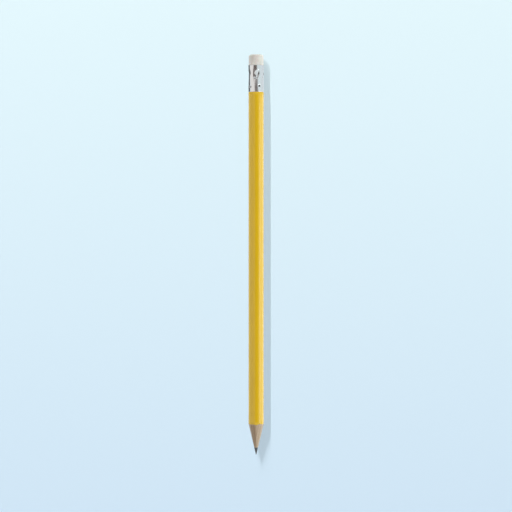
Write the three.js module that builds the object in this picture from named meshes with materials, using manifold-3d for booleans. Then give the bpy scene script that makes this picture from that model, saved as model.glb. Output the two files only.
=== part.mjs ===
// A wood-cased graphite pencil with a crimped aluminium ferrule and an eraser plug.
// Millimetres. It lies on its barrel: the axis runs along Y, with the point at -Y and the
// eraser at +Y. Z is up, and the table is at Z = 0 under the middle of the length.

import * as THREE from "three";
import { mergeVertices } from "three/addons/utils/BufferGeometryUtils.js";
import Module from "manifold-3d";

// Barrel, core and point
const OVERALL_LENGTH = 190;
const BARREL_DIAMETER = 7.3;
const LACQUER_THICKNESS = 0.1;
const CORE_DIAMETER = 1.8;
const GLUE_THICKNESS = 0.06;
const POINT_ANGLE = 26.8; // included angle of the sharpened cone, in degrees
const TIP_DIAMETER = 0.3;

// Ferrule and eraser
const FERRULE_DIAMETER = 7.2;
const FERRULE_LENGTH = 12.7;
const FERRULE_WALL = 0.25;
const RIM_CHAMFER = 0.08;
const ERASER_EXPOSED = 5.2; // stands proud of the ferrule's rim
const ERASER_SEATED = 6.4; // held inside the ferrule
const ERASER_EDGE_RADIUS = 0.85;
const ERASER_SWELL = 0.18; // the free rubber is this much thicker, all round, than what the ferrule holds

// Crimp: a ring of wide dents grips the eraser, and a ring of small pricks grips the wood
const CRIMP_COUNT = 5;
const CRIMP_TURN = 1; // first dent, in degrees from the top of the barrel
const DENT_WIDTH = 3.2;
const DENT_HEIGHT = 4.5;
const DENT_DEPTH = 0.6;
const DENT_BELOW_RIM = 4.2;
const PRICK_DIAMETER = 1.6;
const PRICK_DEPTH = 0.45;
const PRICK_ABOVE_FOOT = 2.9;
const PRICK_TURN = 24; // first prick, in degrees on from the first dent

// Clearances
const BOND_GAP = 0.02; // between glued, lacquered and pressed faces
const SEAT_GAP = 0.05; // between end faces that butt together

// Facets
const BARREL_SIDES = 24; // a flat lies underneath, and the barrel rests on it
const CRIMP_SIDES = 12 * CRIMP_COUNT;
const DENT_RINGS = 4; // rings of points on each side of a dent's middle
const PRICK_RINGS = 2;
const EDGE_STEPS = 4;

// Radii, from the outside in
const barrelRadius = BARREL_DIAMETER / 2;
const lacquerBore = barrelRadius - LACQUER_THICKNESS;
const casingRadius = lacquerBore - BOND_GAP;
const coreRadius = CORE_DIAMETER / 2;
const glueBore = coreRadius + BOND_GAP;
const glueSleeveRadius = glueBore + GLUE_THICKNESS;
const grooveRadius = glueSleeveRadius + BOND_GAP;
const ferruleRadius = FERRULE_DIAMETER / 2;
const ferruleBore = ferruleRadius - FERRULE_WALL;
const plugRadius = ferruleBore - BOND_GAP; // the tenon and the eraser fill the ferrule alike
const freeRadius = plugRadius + ERASER_SWELL;

// Stations along the axis, from the eraser down to the point
const eraserEnd = OVERALL_LENGTH / 2;
const ferruleRim = eraserEnd - ERASER_EXPOSED;
const ferruleFoot = ferruleRim - FERRULE_LENGTH;
const swellStart = ferruleRim + SEAT_GAP;
const shoulder = ferruleFoot - SEAT_GAP;
const eraserSeat = ferruleRim - ERASER_SEATED;
const tenonEnd = eraserSeat - SEAT_GAP;
const tip = -OVERALL_LENGTH / 2;

// Height along the axis at which the sharpened cone has a given radius.
const pointSlope = Math.tan(THREE.MathUtils.degToRad(POINT_ANGLE / 2));
const coneAt = (radius) => tip + (radius - TIP_DIAMETER / 2) / pointSlope;

const wasm = await Module();
wasm.setup();

function solidFrom(geometry) {
  const bare = geometry.clone();
  bare.deleteAttribute("normal");
  bare.deleteAttribute("uv");
  const merged = mergeVertices(bare);
  return new wasm.Manifold(
    new wasm.Mesh({
      numProp: 3,
      vertProperties: merged.attributes.position.array,
      triVerts: new Uint32Array(merged.index.array),
    }),
  );
}

function geometryFrom(solid) {
  const mesh = solid.getMesh();
  const geometry = new THREE.BufferGeometry();
  geometry.setAttribute("position", new THREE.BufferAttribute(mesh.vertProperties, 3));
  geometry.setIndex(new THREE.BufferAttribute(mesh.triVerts, 1));
  geometry.computeVertexNormals();
  return geometry;
}

// Turns a profile of [radius, height] pairs about Y. Its flats, not its corners, lie at the radius.
function turned(profile, sides, start) {
  const toCorner = 1 / Math.cos(Math.PI / sides);
  const points = profile.map(([radius, y]) => new THREE.Vector2(radius * toCorner, y));
  return new THREE.LatheGeometry(points, sides, start);
}

const turnedBarrel = (profile) => turned(profile, BARREL_SIDES, Math.PI / BARREL_SIDES);

const crimpStart = THREE.MathUtils.degToRad(CRIMP_TURN);
const turnedCrimp = (profile) => turned(profile, CRIMP_SIDES, crimpStart);

// A plug is turned from the top down, as the bore round it is, so that a press splits the facets of both
// along the same diagonals. That leaves it inside out, and the order of its corners is then reversed.
function turnedPlug(profile) {
  const geometry = turnedCrimp(profile.toReversed());
  geometry.index.array.reverse();
  return geometry;
}

const cylinder = (radius, low, high) =>
  turnedBarrel([
    [0, low],
    [radius, low],
    [radius, high],
    [0, high],
  ]);

// The two rings of crimp marks, each repeated CRIMP_COUNT times round the ferrule.
const crimps = [
  {
    y: ferruleRim - DENT_BELOW_RIM,
    turn: crimpStart,
    halfWidth: DENT_WIDTH / 2,
    halfHeight: DENT_HEIGHT / 2,
    depth: DENT_DEPTH,
    rings: DENT_RINGS,
  },
  {
    y: ferruleFoot + PRICK_ABOVE_FOOT,
    turn: crimpStart + THREE.MathUtils.degToRad(PRICK_TURN),
    halfWidth: PRICK_DIAMETER / 2,
    halfHeight: PRICK_DIAMETER / 2,
    depth: PRICK_DEPTH,
    rings: PRICK_RINGS,
  },
];

// Depth of the crimp at an angle and height: a smooth bowl inside each mark's ellipse, else 0.
function crimpDepth(angle, y) {
  const pitch = (2 * Math.PI) / CRIMP_COUNT;
  return crimps.reduce((depth, mark) => {
    const turns = (angle - mark.turn) / pitch;
    const across = (turns - Math.round(turns)) * pitch * ferruleRadius;
    const along = y - mark.y;
    const share = (across / mark.halfWidth) ** 2 + (along / mark.halfHeight) ** 2;
    return share < 1 ? depth + mark.depth * (1 - share) ** 2 : depth;
  }, 0);
}

// Heights from low to high at which a crimped wall needs a ring of points.
function crimpRows(low, high) {
  const inner = crimps.flatMap((mark) =>
    Array.from({ length: 2 * mark.rings + 1 }, (_, i) => mark.y + (i / mark.rings - 1) * mark.halfHeight),
  );
  const rows = inner.filter((y) => y > low + BOND_GAP && y < high - BOND_GAP);
  return [low, ...rows.sort((a, b) => a - b), high];
}

// Presses the crimp marks into a turned piece, the same amount on every wall.
function pressCrimps(geometry) {
  const position = geometry.getAttribute("position");
  for (let i = 0; i < position.count; i++) {
    const x = position.getX(i);
    const z = position.getZ(i);
    const radius = Math.hypot(x, z);
    const depth = crimpDepth(Math.atan2(x, z), position.getY(i));
    const kept = radius > depth ? (radius - depth) / radius : 0;
    position.setX(i, x * kept);
    position.setZ(i, z * kept);
  }
  return geometry;
}

// The glued-up, sharpened and tenoned stick, with no groove yet.
function woodBlank() {
  const stick = turnedBarrel([
    [0, coneAt(0)],
    [casingRadius, coneAt(casingRadius)],
    [casingRadius, shoulder],
    [0, shoulder],
  ]);
  const tenonRoot = shoulder - casingRadius;
  const tenon = pressCrimps(
    turnedPlug([
      [0, tenonRoot],
      [plugRadius, tenonRoot],
      ...crimpRows(shoulder, tenonEnd).map((y) => [plugRadius, y]),
      [0, tenonEnd],
    ]),
  );
  return solidFrom(stick).add(solidFrom(tenon));
}

// A slab on the seam plane X = 0, longer and taller than the pencil.
const seamSlab = (thickness) =>
  solidFrom(new THREE.BoxGeometry(thickness, 2 * OVERALL_LENGTH, 2 * BARREL_DIAMETER));

const alongPencil = (radius) => solidFrom(cylinder(radius, -OVERALL_LENGTH, OVERALL_LENGTH));

// One grooved slat, the side of the blank where X has the given sign.
function casingHalf(blank, side) {
  const room = seamSlab(GLUE_THICKNESS + 2 * BOND_GAP).add(alongPencil(grooveRadius));
  const sideBox = new THREE.BoxGeometry(BARREL_DIAMETER, 2 * OVERALL_LENGTH, 2 * BARREL_DIAMETER);
  sideBox.translate((side * BARREL_DIAMETER) / 2, 0, 0);
  return geometryFrom(blank.subtract(room).intersect(solidFrom(sideBox)));
}

// The cured glue: a film between the slats and a sleeve round the core, in one piece.
function glueLine(blank) {
  const film = seamSlab(GLUE_THICKNESS).add(alongPencil(glueSleeveRadius));
  return geometryFrom(blank.intersect(film).subtract(alongPencil(glueBore)));
}

// The graphite rod, full length, sharpened with the casing.
const graphiteCore = () =>
  turnedBarrel([
    [0, tip],
    [TIP_DIAMETER / 2, tip],
    [coreRadius, coneAt(coreRadius)],
    [coreRadius, tenonEnd],
    [0, tenonEnd],
  ]);

// The lacquer tube, cut on the cone at the point and square at the shoulder.
const lacquerCoat = () =>
  turnedBarrel([
    [lacquerBore, coneAt(lacquerBore)],
    [barrelRadius, coneAt(barrelRadius)],
    [barrelRadius, shoulder],
    [lacquerBore, shoulder],
    [lacquerBore, coneAt(lacquerBore)],
  ]);

// The drawn tube, with its rim chamfered and both rings of crimp marks pressed through its wall.
function ferrule() {
  const inside = crimpRows(ferruleFoot, ferruleRim);
  const outside = crimpRows(ferruleFoot, ferruleRim - RIM_CHAMFER);
  return pressCrimps(
    turnedCrimp([
      ...outside.map((y) => [ferruleRadius, y]),
      [ferruleRadius - RIM_CHAMFER, ferruleRim],
      ...inside.reverse().map((y) => [ferruleBore, y]),
      [ferruleRadius, ferruleFoot],
    ]),
  );
}

// The eraser plug: crimped where the ferrule holds it, swollen where it is free, with a rounded working edge.
function eraser() {
  const edgeStart = eraserEnd - ERASER_EDGE_RADIUS;
  const edge = Array.from({ length: EDGE_STEPS }, (_, i) => {
    const angle = ((i + 1) / EDGE_STEPS) * (Math.PI / 2);
    return [
      freeRadius - ERASER_EDGE_RADIUS * (1 - Math.cos(angle)),
      edgeStart + ERASER_EDGE_RADIUS * Math.sin(angle),
    ];
  });
  return pressCrimps(
    turnedPlug([
      [0, eraserSeat],
      ...crimpRows(eraserSeat, swellStart).map((y) => [plugRadius, y]),
      [freeRadius, swellStart + ERASER_SWELL],
      [freeRadius, edgeStart],
      ...edge,
      [0, eraserEnd],
    ]),
  );
}

const finish = (color, roughness, metalness) =>
  new THREE.MeshStandardMaterial({ color, roughness, metalness });

const graphite = finish(0x3a3b3d, 0.45, 0.5);
const wood = finish(0xc2a582, 0.75, 0);
const glue = finish(0xd8c9a4, 0.6, 0);
const yellowLacquer = finish(0xd9ab1c, 0.25, 0);
const aluminium = finish(0xdfe2e3, 0.22, 1);
const whiteRubber = finish(0xe6e1da, 0.85, 0);

const blank = woodBlank();
const pieces = [
  ["graphite_core", graphiteCore(), graphite],
  ["glue_line", glueLine(blank), glue],
  ["casing_half_left", casingHalf(blank, -1), wood],
  ["casing_half_right", casingHalf(blank, 1), wood],
  ["lacquer_coat", lacquerCoat(), yellowLacquer],
  ["ferrule", ferrule(), aluminium],
  ["eraser", eraser(), whiteRubber],
];

const pencil = new THREE.Group();
pencil.position.z = barrelRadius;
for (const [name, geometry, material] of pieces) {
  const mesh = new THREE.Mesh(geometry, material);
  mesh.name = name;
  pencil.add(mesh);
}

export default pencil;
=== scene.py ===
import math

import bpy
import numpy as np
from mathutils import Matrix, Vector


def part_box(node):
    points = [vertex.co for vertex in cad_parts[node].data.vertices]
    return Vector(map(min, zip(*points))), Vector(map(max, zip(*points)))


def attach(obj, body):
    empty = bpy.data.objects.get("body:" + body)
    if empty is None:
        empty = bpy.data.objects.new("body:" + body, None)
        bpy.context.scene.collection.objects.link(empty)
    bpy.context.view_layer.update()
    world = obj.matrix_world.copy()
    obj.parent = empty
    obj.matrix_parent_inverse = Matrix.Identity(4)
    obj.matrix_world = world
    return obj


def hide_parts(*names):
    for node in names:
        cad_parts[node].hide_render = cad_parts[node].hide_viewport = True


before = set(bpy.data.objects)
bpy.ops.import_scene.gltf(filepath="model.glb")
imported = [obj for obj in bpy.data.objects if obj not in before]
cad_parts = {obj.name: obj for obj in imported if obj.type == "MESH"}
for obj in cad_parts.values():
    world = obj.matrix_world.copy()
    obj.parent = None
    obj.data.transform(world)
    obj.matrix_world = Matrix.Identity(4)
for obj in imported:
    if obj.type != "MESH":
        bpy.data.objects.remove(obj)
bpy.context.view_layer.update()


# Graphite core
# A rod of fired graphite and clay that lies glued in the grooves of the casing. The sharpener has
# cut its end to a cone, and the first strokes of writing have rounded the tip.

MM = 0.001  # one millimetre, in metres
LAP = 192  # points in one lap round the pencil
SHARP_ANGLE = math.radians(40)  # edges that turn further than this stay sharp

coat_low, coat_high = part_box("lacquer_coat")
core_low, core_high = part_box("graphite_core")
AXIS_HEIGHT = (coat_low.z + coat_high.z) / 2
BARREL_RADIUS = (coat_high.z - coat_low.z) / 2
CORE_RADIUS = (core_high.z - core_low.z) / 2
TIP = core_low.y
CORE_END = core_high.y
TIP_RADIUS = 0.1 * MM
LACQUER_THICKNESS = 0.1 * MM
LACQUER_BORE = BARREL_RADIUS - LACQUER_THICKNESS
CONE_SLOPE = (LACQUER_BORE - TIP_RADIUS) / (coat_low.y - TIP)  # the lacquer reaches lowest at its bore
GRAPHITE_END = TIP + (CORE_RADIUS - TIP_RADIUS) / CONE_SLOPE  # where the cone is as wide as the core

UNEVEN_LOBE = 0.025 * MM  # how far the cone is out of round
UNEVEN_TONGUE = 0.045 * MM  # how much less the blade took along the top
TONGUE_WIDTH = 0.22  # in radians
UNEVEN_REACH = 6 * MM  # the cone runs true at the graphite, and is this long in going out of round

GRAPHITE_DARK = (0.06, 0.062, 0.066, 1)
GRAPHITE_BRIGHT = (0.15, 0.155, 0.162, 1)
NIB_ROWS = 12
GRAPHITE_ROWS = 60
ROD_ROWS = 12


def cone_radius(along, turn):
    """The sharpened cone: it widens evenly from the tip. On the wood it goes a little out of round, by
    two waves and one low ridge along the top, because a blade takes softwood unevenly."""
    reach = np.clip((along - GRAPHITE_END) / UNEVEN_REACH, 0, 1)
    from_top = np.arctan2(np.sin(turn), np.cos(turn))
    waves = np.cos(3 * turn + 1.1) + 0.6 * np.cos(7 * turn - 0.4)
    uneven = UNEVEN_LOBE * waves + UNEVEN_TONGUE * np.exp(-((from_top / TONGUE_WIDTH) ** 2))
    return TIP_RADIUS + CONE_SLOPE * (along - TIP) + uneven * reach * reach * (3 - 2 * reach)


def cone_meets(radius, turn):
    """How far along the pencil the cone reaches a radius: the place on the even cone, and from there one
    step along its slope that makes up for the unevenness."""
    even = TIP + (radius - TIP_RADIUS) / CONE_SLOPE
    return even + (radius - cone_radius(even, turn)) / CONE_SLOPE


def shaded_piece(name, points, faces, material, slot, nodes):
    """A smooth mesh that stands for CAD nodes, with its sharp edges kept sharp."""
    mesh = bpy.data.meshes.new(name)
    mesh.from_pydata(points.tolist(), [], faces)
    mesh.polygons.foreach_set("use_smooth", [True] * len(mesh.polygons))
    mesh.set_sharp_from_angle(angle=SHARP_ANGLE)
    mesh.materials.append(material)
    piece = bpy.data.objects.new(name, mesh)
    piece.visible_diffuse = False  # it throws no coloured light back on the sheet
    bpy.context.scene.collection.objects.link(piece)
    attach(piece, "root")
    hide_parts(*nodes)


def round_points(radius, along, turn):
    """Points at a radius from the pencil's axis. turn is 0 on top and grows towards the right."""
    across = radius * np.sin(turn)
    height = AXIS_HEIGHT + radius * np.cos(turn)
    return np.stack(np.broadcast_arrays(across, along, height), axis=-1).reshape(-1, 3)


def woven_faces(corners):
    """Quads between the rows of a grid of corner numbers. Each row closes on itself."""
    here, ahead = corners[:-1], corners[1:]
    return np.stack([here, np.roll(here, -1, 1), np.roll(ahead, -1, 1), ahead], axis=-1).reshape(-1, 4)


def turned_solid(radius, along):
    """A solid turned about the axis. Each row of the two grids is one lap, and the rows run from the
    point to the eraser. Each end closes on a point of the axis."""
    rows, lap = radius.shape
    turn = np.linspace(0, 2 * np.pi, lap, endpoint=False)
    ends = [[0, along[0].mean(), AXIS_HEIGHT], [0, along[-1].mean(), AXIS_HEIGHT]]
    points = np.vstack([round_points(radius, along, turn), ends])
    corners = np.arange(rows * lap).reshape(rows, lap)
    near, far = corners[0], corners[-1]
    near_fan = np.stack([np.roll(near, -1), near, np.full(lap, rows * lap)], axis=-1)
    far_fan = np.stack([far, np.roll(far, -1), np.full(lap, rows * lap + 1)], axis=-1)
    return points, woven_faces(corners).tolist() + near_fan.tolist() + far_fan.tolist()


def shader_node(material, kind, inputs, **settings):
    """Adds a shader node to a material. An input is a plain value or the output of another node."""
    tree = material.node_tree
    made = tree.nodes.new("ShaderNode" + kind)
    for setting, value in settings.items():
        setattr(made, setting, value)
    for socket, value in inputs.items():
        if isinstance(value, bpy.types.NodeSocket):
            tree.links.new(value, made.inputs[socket])
        else:
            made.inputs[socket].default_value = value
    return made


def finish(name, constants):
    """A material whose Principled shader has these constant values."""
    material = bpy.data.materials.new(name)
    material.use_nodes = True
    shader = material.node_tree.nodes["Principled BSDF"]
    for socket, value in constants.items():
        shader.inputs[socket].default_value = value
    return material


def into_shader(material, **sources):
    """Links outputs to the Principled shader: base_color goes to its Base Color."""
    shader = material.node_tree.nodes["Principled BSDF"]
    for socket, source in sources.items():
        material.node_tree.links.new(source, shader.inputs[socket.replace("_", " ").title()])


def from_axis(material, start=(0, 0, 0), scale=(1, 1, 1), rotation=(0, 0, 0)):
    """Object coordinates measured from the pencil's axis, then stretched, turned and moved."""
    place = material.node_tree.nodes.new("ShaderNodeTexCoord").outputs["Object"]
    centred = {"Vector": place, "Location": (0, 0, -AXIS_HEIGHT)}
    middle = shader_node(material, "Mapping", centred).outputs[0]
    moved = {"Vector": middle, "Location": start, "Rotation": rotation, "Scale": scale}
    return shader_node(material, "Mapping", moved).outputs[0]


def grain(material, across, along, detail=3.0, start=(0, 0, 0)):
    """Noise with cells of these sizes, in metres, across the pencil and along it."""
    stretched = from_axis(material, start, (1 / across, 1 / along, 1 / across))
    noise = {"Vector": stretched, "Scale": 1.0, "Detail": detail, "Roughness": 0.55}
    return shader_node(material, "TexNoise", noise).outputs[0]


def spread(material, value, low, high, start, end):
    """The value, with low to high carried over to start to end and held there."""
    inputs = {"Value": value, "From Min": low, "From Max": high, "To Min": start, "To Max": end}
    return shader_node(material, "MapRange", inputs).outputs[0]


def worked(material, operation, first, second):
    """The sum, product or other operation of two values."""
    return shader_node(material, "Math", {0: first, 1: second}, operation=operation).outputs[0]


def tinted(material, amount, first, second, how="MIX"):
    """The first colour, with an amount of the second one mixed or multiplied in."""
    # A Mix node has sockets for numbers, vectors and colours. These are the ones for colours.
    factor, colour_a, colour_b, colour_out = 0, 6, 7, 2
    inputs = {factor: amount, colour_a: first, colour_b: second}
    return shader_node(material, "Mix", inputs, data_type="RGBA", blend_type=how).outputs[colour_out]


def raised(material, height, distance, below=None):
    """A bump of the given distance in metres, over another bump if there is one."""
    inputs = {"Height": height, "Distance": distance, "Strength": 1.0}
    if below:
        inputs["Normal"] = below
    return shader_node(material, "Bump", inputs).outputs[0]


def cut_graphite():
    """Dark grey with a soft metallic sheen. The blade leaves fine marks round the cone."""
    material = finish("cut_graphite", {"Metallic": 0.75, "Specular IOR Level": 0.5})
    blade_marks = grain(material, 1.2 * MM, 0.035 * MM, 4)
    clay_specks = grain(material, 0.09 * MM, 0.09 * MM, 2, (7, 3, 5))
    marks = worked(material, "ADD", blade_marks, clay_specks)
    shade = spread(material, marks, 0.75, 1.25, 0, 1)
    colour = tinted(material, shade, GRAPHITE_DARK, GRAPHITE_BRIGHT)
    into_shader(
        material,
        base_color=colour,
        roughness=spread(material, blade_marks, 0.3, 0.7, 0.34, 0.52),
        normal=raised(material, marks, 0.006 * MM),
    )
    return material


nib = np.linspace(0, 1, NIB_ROWS)[1:]
nib_along = TIP + TIP_RADIUS * (1 - np.sqrt(1 - nib * nib))
nib_radius = nib * cone_radius(TIP + TIP_RADIUS, 0)
cone_along = np.linspace(TIP + TIP_RADIUS, GRAPHITE_END, GRAPHITE_ROWS)[1:]
rod_along = np.linspace(GRAPHITE_END, CORE_END, ROD_ROWS)[1:]
rod_radius = np.full(rod_along.shape, CORE_RADIUS)
core_along = np.concatenate([nib_along, cone_along, rod_along])
core_radius = np.concatenate([nib_radius, cone_radius(cone_along, 0), rod_radius])
core_grid = np.ones((1, LAP // 2))
core_points, core_faces = turned_solid(core_radius[:, None] * core_grid, core_along[:, None] * core_grid)
shaded_piece("graphite_rod", core_points, core_faces, cut_graphite(), "graphite", ["graphite_core"])


# Wooden casing
# Two grooved slats of pale softwood, glued face to face round the core and turned to a round rod. The
# sharpener bares them on the cone. At the other end they are cut down to a tenon for the ferrule.

ferrule_low, ferrule_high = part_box("ferrule")
eraser_low, eraser_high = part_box("eraser")
slat_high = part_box("casing_half_right")[1]
FERRULE_RADIUS = (ferrule_high.x - ferrule_low.x) / 2
FERRULE_WALL = 0.25 * MM
SHOULDER = coat_high.y
FERRULE_FOOT = ferrule_low.y
FERRULE_RIM = ferrule_high.y
TENON_END = slat_high.y
GLUE_THICKNESS = 0.06 * MM
BOND_GAP = 0.02 * MM  # between glued, lacquered and pressed faces
SEAM_PLANE = GLUE_THICKNESS / 2 + BOND_GAP
CASING_RADIUS = LACQUER_BORE - BOND_GAP
PLUG_RADIUS = FERRULE_RADIUS - FERRULE_WALL - BOND_GAP  # the tenon and the eraser fill the ferrule alike
GROOVE_RADIUS = CORE_RADIUS + GLUE_THICKNESS + 2 * BOND_GAP
WOOD_FEATHER = 0.02 * MM  # thickness of the wood where it feathers out against the core
CONE_ROWS = 110
BARREL_ROWS = 14
TENON_ROWS = 70

# The crimp: a ring of wide dents grips the eraser, and a ring of small pricks grips the tenon. The tool
# comes in at a slant, so a dent is deepest away from its middle, and the metal is drawn down into a soft
# hollow on its other side. It also leaves the tube a little oval towards the rim.
CRIMP_COUNT = 5
CRIMP_PITCH = 2 * math.pi / CRIMP_COUNT
DENT_TURN = math.radians(4.4)  # the first dent, from the top
PRICK_TURN = math.radians(25)
DENT_PLACE = FERRULE_RIM - 4.35 * MM
PRICK_PLACE = FERRULE_FOOT + 2.68 * MM
DENT_SIZE = (1.34 * MM, 2.53 * MM, 0.56 * MM)  # half the width, half the height, and the depth
PRICK_SIZE = (0.65 * MM, 0.65 * MM, 0.36 * MM)
PRICK_SLOPE = 0.4 * MM  # how much higher the ring of pricks lies at the right than in the middle
PRICK_FIRMER = 0.4  # how much harder they are pressed there
DENT_SLANT = math.radians(-22)  # how far its height leans from the pencil's axis
DENT_LEAN = (0.57, -0.52)  # where it is deepest, as shares of half the width and half the height
HOLLOW_SIZE = (0.69 * MM, 3.4 * MM, 0.165 * MM)  # its reach to either side and end, and the depth
HOLLOW_BESIDE = (-1.08 * MM, -0.1 * MM)  # its middle, from the dent's
SQUEEZE_FOOT = 0.04 * MM  # how far the tube is out of round at its foot
SQUEEZE_RIM = 0.34 * MM  # and at its rim
SQUEEZE_TURN = math.radians(45)  # where it is pressed in most
SQUEEZE_FADE = 1.5 * MM  # the eraser is round again this far out of the ferrule


def crimp_depth(along, turn):
    """How deep the crimp presses at a place. Each mark is a leaning funnel of rings, which shrink evenly
    from its outline to its deepest point. The size of the ring through the place is the positive root of
    a quadratic, and the depth there is the full depth times one minus that size. A hollow is a bell curve
    each way. The squeeze is a wave with two crests in a lap, and grows evenly from foot to rim."""

    def to_nearest(first):
        """The way round the tube from the nearest mark of a ring. first is the turn of one of them."""
        return FERRULE_RADIUS * ((turn - first + CRIMP_PITCH / 2) % CRIMP_PITCH - CRIMP_PITCH / 2)

    def marks(first, place, size, slant, lean):
        half_width, half_height, full = size
        beside = to_nearest(first)
        above = along - place
        across = (beside * math.cos(slant) + above * math.sin(slant)) / half_width - lean[0]
        upward = (above * math.cos(slant) - beside * math.sin(slant)) / half_height - lean[1]
        with_lean = across * lean[0] + upward * lean[1]
        upright = 1 - lean[0] ** 2 - lean[1] ** 2
        ring = (with_lean + np.sqrt(with_lean ** 2 + upright * (across ** 2 + upward ** 2))) / upright
        return full * np.clip(1 - ring, 0, 1)

    up_tube = np.clip((along - FERRULE_FOOT) / (FERRULE_RIM - FERRULE_FOOT), 0, 1)
    fade = np.clip(1 - (along - FERRULE_RIM) / SQUEEZE_FADE, 0, 1)
    oval = SQUEEZE_FOOT + (SQUEEZE_RIM - SQUEEZE_FOOT) * up_tube
    squeeze = oval * fade * np.cos(2 * (turn - SQUEEZE_TURN))
    half_width, half_height, full = HOLLOW_SIZE
    hollow_across = to_nearest(DENT_TURN + HOLLOW_BESIDE[0] / FERRULE_RADIUS) / half_width
    hollow_along = (along - DENT_PLACE - HOLLOW_BESIDE[1]) / half_height
    hollows = full * np.exp(-(hollow_across ** 2) - hollow_along ** 2) * fade
    dents = marks(DENT_TURN, DENT_PLACE, DENT_SIZE, DENT_SLANT, DENT_LEAN) + hollows
    to_right = np.sin(turn)
    pricks = marks(PRICK_TURN, PRICK_PLACE + PRICK_SLOPE * to_right, PRICK_SIZE, 0, (0, 0))
    return dents + pricks * (1 + PRICK_FIRMER * to_right) + squeeze


def slat(side):
    """Half of the casing. Each row is a section across it: an arc of the outside from top to bottom, then
    the arc of the groove back up, with the seam's flat faces between them. side is 1 for the right half
    and -1 for the left."""
    arc = np.linspace(0, 1, LAP // 2)
    cone_share = np.linspace(0, 1, CONE_ROWS)[:, None]
    barrel_share = np.linspace(0, 1, BARREL_ROWS)[1:, None]
    tenon_share = np.linspace(0, 1, TENON_ROWS)[:, None]

    def arc_turns(radius):
        start = np.arcsin(SEAM_PLANE / radius)
        return start + arc * (np.pi - 2 * start)

    outer_turn = arc_turns(CASING_RADIUS)[None, :] * side
    edge = cone_meets(CASING_RADIUS, outer_turn)
    feather = cone_meets(GROOVE_RADIUS + WOOD_FEATHER, outer_turn)
    cone_along = feather + cone_share * (edge - feather)
    barrel_along = edge + barrel_share * (SHOULDER - edge)
    tenon_along = SHOULDER + tenon_share * (TENON_END - SHOULDER) + 0 * edge
    outer_along = np.vstack([cone_along, barrel_along, tenon_along])
    outer_radius = np.vstack([
        np.minimum(cone_radius(cone_along, outer_turn), CASING_RADIUS),
        np.full(barrel_along.shape, CASING_RADIUS),
        PLUG_RADIUS - crimp_depth(tenon_along, outer_turn),
    ])
    # The seam stays flat: where the section is smaller, the arc starts a little further round.
    seam_turn = np.arcsin(SEAM_PLANE / outer_radius)
    outer_turn = side * (seam_turn + arc * (np.pi - 2 * seam_turn))
    outer = round_points(outer_radius, outer_along, outer_turn).reshape(*outer_along.shape, 3)
    # The outside has two rows at the shoulder's step. In the groove, the second of them lies further on.
    groove_along = outer_along.copy()
    groove_along[-TENON_ROWS] = tenon_along[:2].mean(axis=0)
    groove_turn = arc_turns(GROOVE_RADIUS)[None, :] * side + 0 * outer_along
    groove = round_points(GROOVE_RADIUS, groove_along, groove_turn).reshape(*outer_along.shape, 3)

    sections = np.concatenate([outer, groove[:, ::-1]], axis=1)
    rows, loop = sections.shape[:2]
    corners = np.arange(rows * loop).reshape(rows, loop)
    walls = woven_faces(corners)
    half = loop // 2
    caps = []
    for row, order in ((corners[0], 1), (corners[-1], -1)):
        outside, inside = row[:half], row[half:][::-1]
        strip = np.stack([outside[1:], outside[:-1], inside[:-1], inside[1:]], axis=-1)
        caps.append(strip[:, ::order])
    faces = np.vstack([walls] + caps)
    return sections.reshape(-1, 3), faces[:, ::side].tolist()


# Each slat's early wood and late wood, and the shades of fibres and resin flecks on both. The right slat
# is paler than the left, partly as its own wood and partly as painted light for the main light from the
# right.
LEFT_EARLY_WITH_SHADE = (0.465, 0.345, 0.235, 1)
LEFT_LATE_WITH_SHADE = (0.31, 0.215, 0.14, 1)
RIGHT_EARLY_WITH_LIGHT = (0.545, 0.425, 0.31, 1)
RIGHT_LATE_WITH_LIGHT = (0.42, 0.31, 0.215, 1)
FIBRE_COLOUR = (0.62, 0.52, 0.42, 1)
FLECK_COLOUR = (0.4, 0.27, 0.16, 1)
LAYER_PITCH = 1.3 * MM  # from one growth layer to the next
WAVE_LENGTH = 2 * math.pi / 20  # of a Wave texture, at a scale of 1


def bare_wood(name, early, late, layer_turn, layer_start):
    """Softwood cut across its growth layers: pale early wood shading into thin darker late wood, with
    fine fibres and short resin flecks along the pencil, and the blade's shallow marks across it."""
    material = finish(name, {"Specular IOR Level": 0.3, "Sheen Weight": 1.0, "Sheen Roughness": 0.4})
    stretch = WAVE_LENGTH / LAYER_PITCH
    layer_scale = (stretch, 0.1 * stretch, stretch)
    layers = {
        "Vector": from_axis(material, (layer_start, 0, 0), layer_scale, (0, layer_turn, 0)),
        "Scale": 1.0,
        "Distortion": 2.2,
        "Detail": 2.0,
        "Detail Scale": 1.4,
    }
    growth = shader_node(material, "TexWave", layers, wave_profile="SAW").outputs["Fac"]
    fibres = grain(material, 0.07 * MM, 2.6 * MM, 4)
    flecks = grain(material, 0.13 * MM, 1.1 * MM, 2, (31, 4, 17))
    blade_marks = grain(material, 1.6 * MM, 0.16 * MM, 3, (2, 9, 4))
    late_share = worked(material, "POWER", growth, 2.4)
    colour = tinted(material, late_share, early, late)
    fibre_shade = spread(material, fibres, 0.3, 0.72, 0.5, 0)
    colour = tinted(material, fibre_shade, colour, FIBRE_COLOUR, "MULTIPLY")
    fleck_shade = spread(material, flecks, 0.62, 0.74, 0, 0.6)
    colour = tinted(material, fleck_shade, colour, FLECK_COLOUR, "MULTIPLY")
    blade_bump = raised(material, blade_marks, 0.012 * MM)
    into_shader(
        material,
        base_color=colour,
        roughness=spread(material, fibres, 0.25, 0.75, 0.82, 0.6),
        normal=raised(material, fibres, 0.02 * MM, blade_bump),
    )
    return material


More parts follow.
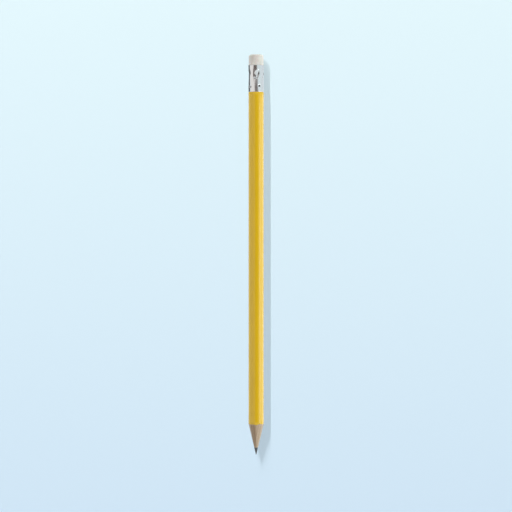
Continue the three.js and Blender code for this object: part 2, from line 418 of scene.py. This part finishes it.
left_wood = bare_wood("bare_wood_left", LEFT_EARLY_WITH_SHADE, LEFT_LATE_WITH_SHADE, math.radians(28), 0.4)
right_wood = bare_wood("bare_wood_right", RIGHT_EARLY_WITH_LIGHT, RIGHT_LATE_WITH_LIGHT, math.radians(-55), 1.7)
shaded_piece("slat_left", *slat(-1), left_wood, "wood", ["casing_half_left"])
shaded_piece("slat_right", *slat(1), right_wood, "wood", ["casing_half_right"])


# Glue line
# A thin film of wood glue, set hard, between the flat faces of the two slats and round the core. It shows
# only as a hairline down the top and underside of the cone.

GLUE_PROUD = 0.006 * MM  # the hard film stands a little above the wood that the blade took
GLUE_DARK = (0.4, 0.295, 0.19, 1)
GLUE_PALE = (0.54, 0.415, 0.285, 1)
GLUE_CONE_ROWS = 120
GLUE_BARREL_ROWS = 4
SLEEVE_POINTS = 24  # on each side of the core


def ring_faces(corners):
    """Quads of a tube whose rows run up the outside and back down the bore. The last joins the first."""
    return woven_faces(np.vstack([corners, corners[:1]]))


def glue_film():
    """One closed skin. Across the pencil its outline goes round the sleeve of glue on the core and, on
    top and underneath, out along a fin to the surface of the wood. The same lap, drawn in to the core, is
    its bore."""
    half = GLUE_THICKNESS / 2
    bore = CORE_RADIUS + BOND_GAP
    sleeve = bore + GLUE_THICKNESS
    start = cone_meets(bore + WOOD_FEATHER, 0)
    cone_end = cone_meets(CASING_RADIUS, 0)
    cone_stations = np.linspace(start, cone_end, GLUE_CONE_ROWS)
    barrel_stations = np.linspace(cone_end, SHOULDER - GLUE_THICKNESS, GLUE_BARREL_ROWS)[1:]
    along = np.concatenate([cone_stations, barrel_stations, [SHOULDER, TENON_END]])[:, None]
    root = np.arcsin(half / sleeve)
    arc = np.linspace(root, np.pi - root, SLEEVE_POINTS)[None, :] + 0 * along

    def fin(top):
        reach = np.minimum(cone_radius(along, top) + GLUE_PROUD, CASING_RADIUS)
        reach[-2:] = PLUG_RADIUS - BOND_GAP
        lean = np.arctan2(half, reach)
        corner_radius = np.repeat(np.hypot(half, reach), 2, axis=1)
        return corner_radius, top + lean * np.array([[-1, 1]])

    top_radius, top_turn = fin(0)
    under_radius, under_turn = fin(np.pi)
    turn = np.hstack([top_turn, arc, under_turn, np.pi + arc])
    right_radius = np.minimum(cone_radius(along, arc), sleeve)
    left_radius = np.minimum(cone_radius(along, np.pi + arc), sleeve)
    radius = np.hstack([top_radius, right_radius, under_radius, left_radius])
    fin_ends = np.array([[-root / 2, root / 2]])
    bore_turn = np.hstack([fin_ends, arc[:1], np.pi + fin_ends, np.pi + arc[:1]])
    bore_rows = np.array([[TENON_END], [start]])
    outside = round_points(radius, along, turn)
    inside = round_points(bore, bore_rows, bore_turn)
    corners = np.arange(len(outside) + len(inside)).reshape(-1, turn.shape[1])
    return np.vstack([outside, inside]), ring_faces(corners).tolist()


def set_glue():
    """Amber and clouded, from the wood dust in it."""
    material = finish("set_glue", {"Specular IOR Level": 0.5})
    dust = grain(material, 0.15 * MM, 0.6 * MM, 3)
    cloud = spread(material, dust, 0.3, 0.7, 0, 1)
    colour = tinted(material, cloud, GLUE_DARK, GLUE_PALE)
    into_shader(
        material,
        base_color=colour,
        roughness=spread(material, dust, 0.3, 0.7, 0.4, 0.65),
        normal=raised(material, dust, 0.01 * MM),
    )
    return material


shaded_piece("glue_film", *glue_film(), set_glue(), "glue", ["glue_line"])


# Lacquer coat
# Yellow nitrocellulose lacquer over a brown filler, built up in thin coats as the rod is pulled through
# rubber gaskets. The sharpener has cut it to a feathered edge at the cone. The tenon's shoulder ends it.

SHOULDER_ROUND = 0.04 * MM
RIPPLE_HEIGHT = 0.002 * MM
LONG_RIPPLE = 9 * MM  # what one radian of the wave takes
SHORT_RIPPLE = 3.7 * MM
RIPPLE_FADE = 2 * MM  # the ripple dies away over this length at either end
COAT_ROWS = 120
COAT_EDGE_ROWS = 6
COAT_BORE_ROWS = 12
YELLOW_DEEP = (0.66, 0.408, 0.0055, 1)
YELLOW_BRIGHT = (0.7, 0.433, 0.0065, 1)
DUST_COLOUR = (0.45, 0.28, 0.03, 1)
FILLER_COLOUR = (0.42, 0.31, 0.19, 1)
ALL_FILLER = BARREL_RADIUS - 0.045 * MM  # the cut edge is brown up to here
ALL_YELLOW = BARREL_RADIUS - 0.012 * MM  # and yellow from here


def lacquer_skin():
    """A thin tube. Its rows run along the outside from the paint line to the shoulder, over the
    shoulder's rounded edge, and back along the bore. The outside swells and sinks by a few microns along
    its length."""
    turn = np.linspace(0, 2 * np.pi, LAP, endpoint=False)[None, :]
    share = np.linspace(0, 1, COAT_ROWS)[:, None]
    front = cone_meets(BARREL_RADIUS, turn)
    bore_front = cone_meets(LACQUER_BORE, turn)
    last = SHOULDER - SHOULDER_ROUND
    outer_along = front + share * (last - front)
    ripple = np.sin(outer_along / LONG_RIPPLE + 2 * turn) + np.sin(outer_along / SHORT_RIPPLE - turn)
    from_end = np.minimum(outer_along - front, last - outer_along)
    outer_radius = BARREL_RADIUS + RIPPLE_HEIGHT * ripple * np.clip(from_end / RIPPLE_FADE, 0, 1)
    bend = np.linspace(0, np.pi / 2, COAT_EDGE_ROWS)[1:, None]
    edge_along = last + SHOULDER_ROUND * np.sin(bend) + 0 * turn
    edge_radius = BARREL_RADIUS - SHOULDER_ROUND * (1 - np.cos(bend)) + 0 * turn
    bore_along = SHOULDER + np.linspace(0, 1, COAT_BORE_ROWS)[:, None] * (bore_front - SHOULDER)
    bore_radius = np.full(bore_along.shape, LACQUER_BORE)
    along = np.vstack([outer_along, edge_along, bore_along])
    radius = np.vstack([outer_radius, edge_radius, bore_radius])
    corners = np.arange(radius.size).reshape(radius.shape)
    return round_points(radius, along, turn), ring_faces(corners).tolist()


def length_of(material, vector):
    """The length of a vector."""
    return shader_node(material, "VectorMath", {0: vector}, operation="LENGTH").outputs["Value"]


def yellow_lacquer():
    """A full, warm yellow under a clear gloss that handling has hazed a little. The gaskets leave faint
    streaks along it, the coats dry with a slight orange peel, and the cut edge shows the brown filler."""
    clear = {"Coat Weight": 1.0, "Coat Roughness": 0.12, "Coat IOR": 1.58, "Specular IOR Level": 0.0}
    haze = {"Sheen Weight": 0.5, "Sheen Roughness": 0.35}
    material = finish("yellow_lacquer", {**clear, **haze})
    clouds = grain(material, 4 * MM, 11 * MM, 3)
    pulled = grain(material, 0.16 * MM, 40 * MM, 3, (5, 1, 8))
    peel = grain(material, 0.9 * MM, 1.5 * MM, 2, (3, 6, 2))
    dust = grain(material, 0.14 * MM, 0.17 * MM, 1, (11, 2, 19))
    cloud_shade = spread(material, clouds, 0.3, 0.7, 0, 0.4)
    pulled_shade = spread(material, pulled, 0.3, 0.7, 0, 0.6)
    shade = worked(material, "ADD", cloud_shade, pulled_shade)
    colour = tinted(material, shade, YELLOW_DEEP, YELLOW_BRIGHT)
    colour = tinted(material, spread(material, dust, 0.78, 0.81, 0, 0.25), colour, DUST_COLOUR)
    flat_place = from_axis(material, scale=(1, 0, 1))
    from_middle = length_of(material, flat_place)
    filler = spread(material, from_middle, ALL_FILLER, ALL_YELLOW, 1, 0)
    colour = tinted(material, filler, colour, FILLER_COLOUR)
    surface = worked(material, "ADD", peel, spread(material, pulled, 0.3, 0.7, 0, 0.35))
    into_shader(
        material,
        base_color=colour,
        roughness=spread(material, clouds, 0.3, 0.7, 0.28, 0.36),
        normal=raised(material, surface, 0.008 * MM),
    )
    return material


skin_points, skin_faces = lacquer_skin()
shaded_piece("lacquer_skin", skin_points, skin_faces, yellow_lacquer(), "lacquer", ["lacquer_coat"])


# Ferrule
# A tube of bright drawn aluminium, pushed over the tenon. A crimping tool has pressed a ring of wide
# dents into the eraser and a ring of small pricks into the wood. Its edges are rounded.

RIM_ROUND = 0.11 * MM
CRIMP_ROWS = 150
ROUND_ROWS = 13
METAL_DARK = (0.65, 0.648, 0.645, 1)
METAL_BRIGHT = (0.77, 0.77, 0.77, 1)
# Painted shade: a dark colour laid into the deep pricks, more towards the right, and on the steep
# right-hand side of each dent, where shade falls.
PAINTED_SHADE_COLOUR = (0.1, 0.1, 0.1, 1)
DENT_SHADE_SIZE = (0.5 * MM, 0.8 * MM)  # half the width and half the height of the painted shade on the steep side of a dent
DENT_SHADE_BESIDE = (1.18 * MM, 0.33 * MM)  # its middle, from the dent's


def crimped_tube():
    """A thin tube. Its rows run up the outside from the foot, round the rim and back down the bore. Both
    walls sink together wherever the crimp presses."""
    turn = np.linspace(0, 2 * np.pi, LAP, endpoint=False)[None, :]
    bend = np.linspace(0, np.pi, ROUND_ROWS)[1:-1, None]
    middle = FERRULE_RADIUS - FERRULE_WALL / 2
    half_wall = FERRULE_WALL / 2
    wall = np.linspace(FERRULE_FOOT + RIM_ROUND, FERRULE_RIM - RIM_ROUND, CRIMP_ROWS)[:, None]
    rim_along = FERRULE_RIM - RIM_ROUND + RIM_ROUND * np.sin(bend)
    foot_along = FERRULE_FOOT + RIM_ROUND - RIM_ROUND * np.sin(bend)
    rim_radius = middle + half_wall * np.cos(bend)
    foot_radius = middle - half_wall * np.cos(bend)
    along = np.vstack([wall, rim_along, wall[::-1], foot_along]) + 0 * turn
    outside = np.full(wall.shape, FERRULE_RADIUS)
    bore = np.full(wall.shape, FERRULE_RADIUS - FERRULE_WALL)
    radius = np.vstack([outside, rim_radius, bore, foot_radius]) - crimp_depth(along, turn)
    corners = np.arange(radius.size).reshape(radius.shape)
    return round_points(radius, along, turn), ring_faces(corners).tolist()


def drawn_aluminium():
    """Bright metal with fine lines drawn along it and a few rubbed patches. Painted shade darkens the
    deep pricks, more towards the right, and the steep side of each dent."""
    material = finish("drawn_aluminium", {"Metallic": 1.0})
    drawn = grain(material, 0.06 * MM, 7 * MM, 4)
    rubbed = grain(material, 1.1 * MM, 1.6 * MM, 3, (4, 8, 1))
    scuffs = grain(material, 0.9 * MM, 0.05 * MM, 2, (13, 5, 6))
    drawn_shade = spread(material, drawn, 0.3, 0.7, 0, 1)
    colour = tinted(material, drawn_shade, METAL_DARK, METAL_BRIGHT)
    place = shader_node(material, "SeparateXYZ", {"Vector": from_axis(material)}).outputs
    turn = worked(material, "ARCTAN2", place["X"], place["Z"])
    to_right = worked(material, "SINE", turn, 0)

    def from_nearest(first, level, half_width, half_height):
        """How far a place is from the nearest mark of a ring, as a share of the mark's half sizes."""
        turned_on = worked(material, "SUBTRACT", turn, first)
        one_pitch = {0: turned_on, 1: CRIMP_PITCH / 2, 2: -CRIMP_PITCH / 2}
        to_nearest = shader_node(material, "Math", one_pitch, operation="WRAP").outputs[0]
        beside = worked(material, "MULTIPLY", to_nearest, FERRULE_RADIUS / half_width)
        above = worked(material, "DIVIDE", worked(material, "SUBTRACT", place["Y"], level), half_height)
        offset = shader_node(material, "CombineXYZ", {"X": beside, "Y": above}).outputs[0]
        return length_of(material, offset)

    # Painted shade in the pricks, heavier towards the right.
    prick_rise = worked(material, "MULTIPLY", to_right, PRICK_SLOPE)
    prick_place = worked(material, "ADD", PRICK_PLACE, prick_rise)
    in_prick = spread(material, from_nearest(PRICK_TURN, prick_place, *PRICK_SIZE[:2]), 0.51, 1, 1, 0)
    prick_shade_strength = spread(material, to_right, -0.7, 0.4, 0.5, 0.95)
    prick_shade = worked(material, "MULTIPLY", in_prick, prick_shade_strength)
    # Painted shade on the steep side of each dent.
    dent_shade_turn = DENT_TURN + DENT_SHADE_BESIDE[0] / FERRULE_RADIUS
    from_dent_shade = from_nearest(dent_shade_turn, DENT_PLACE + DENT_SHADE_BESIDE[1], *DENT_SHADE_SIZE)
    painted_shade = worked(material, "MAXIMUM", prick_shade, spread(material, from_dent_shade, 0.3, 1, 0.75, 0))
    colour = tinted(material, painted_shade, colour, PAINTED_SHADE_COLOUR, "MULTIPLY")
    scuffed = spread(material, scuffs, 0.6, 0.75, 0, 0.4)
    surface = worked(material, "ADD", spread(material, drawn, 0.3, 0.7, 0, 0.6), scuffed)
    into_shader(
        material,
        base_color=colour,
        roughness=spread(material, rubbed, 0.3, 0.7, 0.1, 0.18),
        normal=raised(material, surface, 0.003 * MM),
    )
    return material


tube_points, tube_faces = crimped_tube()
shaded_piece("crimped_tube", tube_points, tube_faces, drawn_aluminium(), "ferrule", ["ferrule"])


# Eraser
# A plug of off-white synthetic rubber, cut from an extruded cord and tumbled, which softens its edges.
# The dents of the ferrule press into it and hold it.

ERASER_SEAT = eraser_low.y
ERASER_END = eraser_high.y
FREE_RADIUS = (eraser_high.x - eraser_low.x) / 2
ERASER_EDGE = 0.85 * MM
ERASER_CROWN = 0.12 * MM  # how far the end face domes
SEAT_EDGE = 0.2 * MM
RIM_GAP = 0.05 * MM  # between the rim and the swollen rubber
EDGE_ROWS = 16
HELD_ROWS = 80
FREE_ROWS = 30
FACE_RINGS = 14
FACE_SHARE = 0.98  # the rings of the end face run in this far, and a fan closes the rest
RUBBER_DARK = (0.627, 0.583, 0.532, 1)
RUBBER_PALE = (0.703, 0.66, 0.61, 1)
SPECK_COLOUR = (0.3, 0.28, 0.26, 1)


def rubber_plug():
    """A turned plug with rounded edges and a slightly domed end. It sinks under the crimp, and swells in
    a quarter circle where it leaves the ferrule."""
    turn = np.linspace(0, 2 * np.pi, LAP, endpoint=False)[None, :]
    bend = np.linspace(0, np.pi / 2, EDGE_ROWS)[:, None]
    ring = np.linspace(0, 1, FACE_RINGS)[1:, None]
    swell = FREE_RADIUS - PLUG_RADIUS
    neck = FERRULE_RIM + RIM_GAP
    edge_start = ERASER_END - ERASER_CROWN - ERASER_EDGE
    seat_along = ERASER_SEAT + SEAT_EDGE * (1 - np.sin(bend))[::-1]
    seat_radius = PLUG_RADIUS - SEAT_EDGE * (1 - np.cos(bend))[::-1]
    held_along = np.linspace(ERASER_SEAT + SEAT_EDGE, neck, HELD_ROWS)[1:, None]
    neck_along = neck + swell * (1 - np.cos(bend))[1:]
    neck_radius = PLUG_RADIUS + swell * np.sin(bend)[1:]
    free_along = np.linspace(neck + swell, edge_start, FREE_ROWS)[1:-1, None]
    edge_along = edge_start + ERASER_EDGE * np.sin(bend)
    edge_radius = FREE_RADIUS - ERASER_EDGE * (1 - np.cos(bend))
    flat_radius = (FREE_RADIUS - ERASER_EDGE) * (1 - FACE_SHARE * ring)
    flat_along = ERASER_END - ERASER_CROWN * (1 - ring) ** 2
    held_radius = np.full(held_along.shape, PLUG_RADIUS)
    free_radius = np.full(free_along.shape, FREE_RADIUS)
    along = np.vstack([seat_along, held_along, neck_along, free_along, edge_along, flat_along]) + 0 * turn
    radius = np.vstack([seat_radius, held_radius, neck_radius, free_radius, edge_radius, flat_radius])
    return turned_solid(radius - crimp_depth(along, turn), along)


def white_rubber():
    """Chalky off-white, faintly mottled, with fine pores, a few dark specks and the dust of tumbling."""
    dusty = {"Specular IOR Level": 0.35, "Sheen Weight": 0.4, "Sheen Roughness": 0.4}
    translucent = {"Subsurface Weight": 0.12, "Subsurface Scale": 0.6 * MM}
    material = finish("white_rubber", {**dusty, **translucent})
    mottle = grain(material, 0.9 * MM, 0.9 * MM, 3)
    pores = grain(material, 0.07 * MM, 0.07 * MM, 2, (6, 2, 9))
    specks = grain(material, 0.11 * MM, 0.11 * MM, 1, (17, 21, 3))
    mottle_shade = spread(material, mottle, 0.3, 0.7, 0, 1)
    colour = tinted(material, mottle_shade, RUBBER_DARK, RUBBER_PALE)
    colour = tinted(material, spread(material, specks, 0.76, 0.8, 0, 0.5), colour, SPECK_COLOUR)
    surface = worked(material, "ADD", mottle, spread(material, pores, 0.3, 0.7, 0, 0.5))
    into_shader(
        material,
        base_color=colour,
        roughness=spread(material, pores, 0.3, 0.7, 0.72, 0.92),
        normal=raised(material, surface, 0.03 * MM),
    )
    return material


plug_points, plug_faces = rubber_plug()
shaded_piece("rubber_plug", plug_points, plug_faces, white_rubber(), "eraser", ["eraser"])


# Floor, light and camera
# The pencil lies on a pale blue sheet, seen straight from above. The main light comes from the right, and
# a strip of light on the left throws the shadow. In gloss the room is pale at both sides, dark overhead,
# round the camera, and grey towards the ends of the ceiling.

FLOOR_HALF = 4.0  # in metres, from the middle to an edge
# The sheet is paler beyond the eraser than before the point: painted light, which stands in for light
# that falls off towards the point.
FLOOR_FAR = (0.81, 0.954, 1.0, 1)  # beyond the eraser
FLOOR_NEAR = (0.685, 0.832, 0.97, 1)  # before the point
FLOOR_IN_GLOSS = (0.86, 0.95, 1.0, 1)
FLOOR_FADE = 125 * MM  # how far from the middle each colour is full

floor_mesh = bpy.data.meshes.new("floor")
floor_corners = FLOOR_HALF * np.array([[-1, -1, 0], [1, -1, 0], [1, 1, 0], [-1, 1, 0]])
floor_mesh.from_pydata(floor_corners.tolist(), [], [[0, 1, 2, 3]])
floor = bpy.data.objects.new("floor", floor_mesh)
bpy.context.scene.collection.objects.link(floor)
sheet = finish("pale_sheet", {"Roughness": 0.9, "Specular IOR Level": 0.1})
sheet_place = sheet.node_tree.nodes.new("ShaderNodeTexCoord").outputs["Object"]
sheet_along = shader_node(sheet, "SeparateXYZ", {"Vector": sheet_place}).outputs["Y"]
painted_falloff = spread(sheet, sheet_along, -FLOOR_FADE, FLOOR_FADE, 0, 1)
into_shader(sheet, base_color=tinted(sheet, painted_falloff, FLOOR_NEAR, FLOOR_FAR))
# In gloss and metal the sheet shows as a plain pale background, without the shadow.
sheet_nodes = sheet.node_tree.nodes
in_mirror = sheet_nodes.new("ShaderNodeLightPath").outputs["Is Glossy Ray"]
plain_pale = shader_node(sheet, "Emission", {"Color": FLOOR_IN_GLOSS, "Strength": 1.0}).outputs[0]
two_looks = {0: in_mirror, 1: sheet_nodes["Principled BSDF"].outputs[0], 2: plain_pale}
sheet_look = shader_node(sheet, "MixShader", two_looks).outputs[0]
sheet.node_tree.links.new(sheet_look, sheet_nodes["Material Output"].inputs["Surface"])
floor_mesh.materials.append(sheet)

# A dark card lies on the sheet at the left of the ferrule. It shows in gloss alone, as a painted dark
# reflection down the metal's left edge, which stands in for shade on the sheet there.
SHADE_REFLECTION_COLOUR = (0.145, 0.15, 0.15, 1)
DARK_CARD_HEIGHT = 0.3 * MM
DARK_CARD_ACROSS = (-27 * MM, -4.5 * MM)
DARK_CARD_ALONG = (SHOULDER, FERRULE_RIM + 1.5 * MM)
card_across, card_along = np.meshgrid(DARK_CARD_ACROSS, DARK_CARD_ALONG)
card_height = np.full((2, 2), DARK_CARD_HEIGHT)
card_corners = np.stack([card_across, card_along, card_height], axis=-1).reshape(4, 3)
card_mesh = bpy.data.meshes.new("shade_reflection_card")
card_mesh.from_pydata(card_corners.tolist(), [], [[0, 1, 3, 2]])
card_mesh.materials.append(finish("shade_reflection_card", {"Base Color": SHADE_REFLECTION_COLOUR, "Roughness": 0.9}))
shade_reflection_card = bpy.data.objects.new("shade_reflection_card", card_mesh)
shade_reflection_card.visible_camera = False
shade_reflection_card.visible_diffuse = False
shade_reflection_card.visible_shadow = False
bpy.context.scene.collection.objects.link(shade_reflection_card)

ROOM_LEFT = (1.0, 0.98, 0.96, 1)
ROOM_RIGHT = (0.84, 0.97, 1.01, 1)
OVERHEAD_COLOUR = (0.16, 0.125, 0.115, 1)
CEILING_END_COLOUR = (0.4, 0.41, 0.42, 1)
AMBIENT_COLOUR = (0.1, 0.1, 0.1, 1)
OVERHEAD_CENTRE = math.sin(math.radians(7.5))  # the dark patch lies a little to the right of straight up
OVERHEAD_ACROSS = math.sin(math.radians(24.5))  # how far it reaches to either side
OVERHEAD_ALONG = math.sin(math.radians(7.2))  # and towards either end of the pencil

world = bpy.data.worlds.new("studio")
bpy.context.scene.world = world
world.use_nodes = True
world.cycles.sampling_method = "NONE"  # each ray meets the room by its own kind
background = world.node_tree.nodes["Background"]
# A direction has a length of 1, so each of its sides runs from -1 to 1.
direction = world.node_tree.nodes.new("ShaderNodeTexCoord").outputs["Generated"]
side = shader_node(world, "SeparateXYZ", {"Vector": direction}).outputs
from_centre = worked(world, "SUBTRACT", side["X"], OVERHEAD_CENTRE)
across_share = worked(world, "DIVIDE", worked(world, "ABSOLUTE", from_centre, 0), OVERHEAD_ACROSS)
along_share = worked(world, "DIVIDE", worked(world, "ABSOLUTE", side["Y"], 0), OVERHEAD_ALONG)
within_across = spread(world, across_share, 0.7, 1.3, 1, 0)
within_along = spread(world, along_share, 0.7, 1.3, 1, 0)
overhead = worked(world, "MULTIPLY", within_across, within_along)
walls = tinted(world, spread(world, side["X"], -0.3, 0.9, 0, 1), ROOM_LEFT, ROOM_RIGHT)
before_point = spread(world, side["Y"], -0.8, -0.45, 1, 0)
beyond_eraser = spread(world, side["Y"], 0.18, 0.42, 0, 1)
far_along = worked(world, "ADD", before_point, beyond_eraser)
ceiling_ends = worked(world, "MULTIPLY", far_along, spread(world, side["Z"], 0.15, 0.6, 0, 1))
room = tinted(world, overhead, tinted(world, ceiling_ends, walls, CEILING_END_COLOUR), OVERHEAD_COLOUR)
light_path = world.node_tree.nodes.new("ShaderNodeLightPath").outputs
lit = tinted(world, light_path["Is Diffuse Ray"], room, AMBIENT_COLOUR)
seen = tinted(world, light_path["Is Camera Ray"], lit, FLOOR_NEAR)
world.node_tree.links.new(seen, background.inputs["Color"])


def lamp(name, kind, place, target, in_gloss, **settings):
    """A lamp at a place, turned towards its target. It either shows in gloss and mirrors or lights what
    is dull."""
    data = bpy.data.lights.new(name, kind)
    for setting, value in settings.items():
        setattr(data, setting, value)
    made = bpy.data.objects.new(name, data)
    made.location = place
    made.rotation_euler = (Vector(target) - Vector(place)).to_track_quat("-Z", "Y").to_euler()
    made.visible_camera = False
    made.visible_glossy = in_gloss
    made.visible_diffuse = not in_gloss
    bpy.context.scene.collection.objects.link(made)


def broad_lamp(name, place, level, colour):
    """A lamp far off whose light comes from a wide patch of sky and throws no shadow. On a white floor
    its light has this level."""
    energy = level * math.pi / Vector(place).normalized().z
    width = math.radians(40)
    lamp(name, "SUN", place, (0, 0, 0), False, energy=energy, angle=width, color=colour, use_shadow=False)


COOL_WHITE = (0.95, 1, 1)
PLAIN_WHITE = (1, 1, 1)
broad_lamp("main_right", (1.75, -0.1, 1.0), 0.48, COOL_WHITE)
broad_lamp("rim_right", (7.0, -0.1, 1.0), 0.013, COOL_WHITE)
broad_lamp("fill_left", (-2.7, 0.1, 1.0), 0.095, PLAIN_WHITE)

# The strip runs along the pencil, so the shadow is crisp at its side and fades at its ends. It begins
# beyond the eraser, so the shadow lies a little towards the point. Its sizes are in metres.
STRIP_SIZE = (9.0, 0.12)
STRIP_PLACE = (-1.67, 6.5, 2.4)
STRIP_TARGET = (0, 6.5, 0)
STRIP_ENERGY = 357.0
strip_shape = {"shape": "RECTANGLE", "size": STRIP_SIZE[0], "size_y": STRIP_SIZE[1]}
lamp("shadow_strip_left", "AREA", STRIP_PLACE, STRIP_TARGET, False, energy=STRIP_ENERGY, **strip_shape)

# Two cards give the lacquer its long highlight: one stands at the right, and one lies on the sheet before
# it. They end short of where the bright metal of the ferrule would show them.
CARD_START = -110 * MM
STANDING_END = 84 * MM
LYING_END = SHOULDER - 0.5 * MM


def gloss_card(name, end, width, place, target, radiance):
    """A plain card along the pencil up to an end, with its middle line at a place across and a height. It
    faces a target, and shows with this radiance in gloss alone."""
    length = end - CARD_START
    middle = (CARD_START + end) / 2
    shape = {"shape": "RECTANGLE", "size": length, "size_y": width, "use_shadow": False}
    power = math.pi * length * width * radiance
    centre = (place[0], middle, place[1])
    lamp(name, "AREA", centre, (target[0], middle, target[1]), True, energy=power, **shape)


gloss_card("standing_card_right", STANDING_END, 120 * MM, (135 * MM, 70 * MM), (0, 70 * MM), 1.35)
# The lying card faces up, a hair off plumb, so that its length keeps to the pencil's.
gloss_card("lying_card_right", LYING_END, 75 * MM, (45 * MM, 0.5 * MM), (44.9 * MM, 100 * MM), 1.1)

CAMERA_DISTANCE = 1.1  # above the pencil's axis, in metres
SENSOR_WIDTH = 36  # in the camera's own millimetres
FRAME_WIDTH = 243.1 * MM  # what the square picture takes in at the axis
FRAME_CENTRE = (-0.05 * MM, -0.69 * MM)
camera_data = bpy.data.cameras.new("camera")
camera_data.sensor_width = SENSOR_WIDTH
camera_data.lens = SENSOR_WIDTH * CAMERA_DISTANCE / FRAME_WIDTH
camera = bpy.data.objects.new("camera", camera_data)
camera.location = (*FRAME_CENTRE, AXIS_HEIGHT + CAMERA_DISTANCE)
bpy.context.scene.collection.objects.link(camera)
bpy.context.scene.camera = camera
bpy.context.scene.view_settings.view_transform = "Standard"
